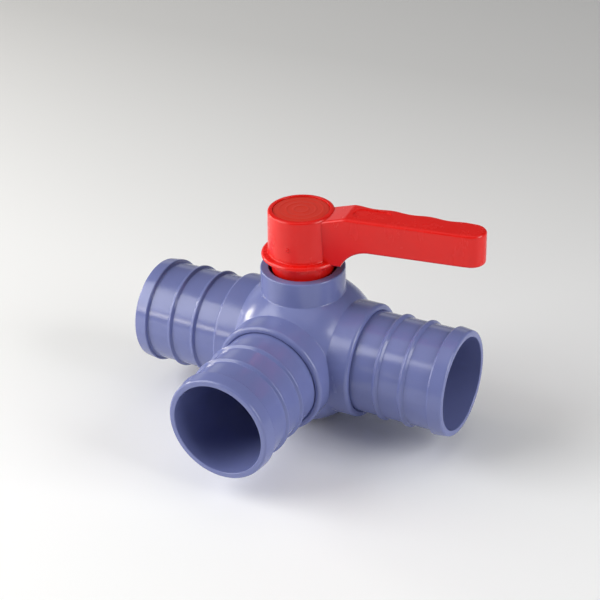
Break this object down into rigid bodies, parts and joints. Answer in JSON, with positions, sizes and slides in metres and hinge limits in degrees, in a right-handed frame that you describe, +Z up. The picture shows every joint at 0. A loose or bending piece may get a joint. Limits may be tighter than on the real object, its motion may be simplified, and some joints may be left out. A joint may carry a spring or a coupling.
{
  "type": "three way ball valve",
  "caption": "Three way ball valve with barbed tails for 38 mm hose on a round plastic body and a red lever handle on top.",
  "frame": {"origin": "centre of the footprint, on the surface that the round body stands on", "axes": "+X along the right hose tail, -Y along the front (middle) hose tail, +Z up the stem towards the handle"},
  "size_m": [0.1281, 0.09, 0.0843],
  "materials": {
    "body_pvc": "semi-gloss moulded blue-grey PVC",
    "tail_pvc": "semi-gloss moulded blue-grey PVC",
    "seat_polymer": "waxy off-white seat polymer",
    "seal_rubber": "smooth black elastomer",
    "ball_pvc": "polished white PVC",
    "stem_pvc": "smooth white PVC",
    "fixing_steel": "plain stainless steel",
    "handle_red": "semi-gloss moulded red plastic",
    "cap_red": "semi-gloss moulded red plastic"
  },
  "bodies": {
    "housing": {"valve_body": "body_pvc", "hose_tail_right": "tail_pvc", "hose_tail_left": "tail_pvc", "hose_tail_front": "tail_pvc", "ball_seat_right": "seat_polymer", "ball_seat_left": "seat_polymer", "ball_seat_front": "seat_polymer", "ball_seat_rear": "seat_polymer", "seat_oring_right": "seal_rubber", "seat_oring_left": "seal_rubber", "seat_oring_front": "seal_rubber", "seat_oring_rear": "seal_rubber", "stem_thrust_washer": "seat_polymer"},
    "rotor": {"ball": "ball_pvc", "stem": "stem_pvc", "stem_oring_lower": "seal_rubber", "stem_oring_upper": "seal_rubber", "handle": "handle_red", "handle_washer": "fixing_steel", "handle_screw": "fixing_steel", "handle_cap": "cap_red"}
  },
  "joints": [
    {"name": "handle_turn", "type": "hinge", "parent": "housing", "child": "rotor", "pos_m": [-0.00187, 0.01715, 0.0279], "axis": [0, 0, 1], "range_deg": [-97, 83]}
  ]
}
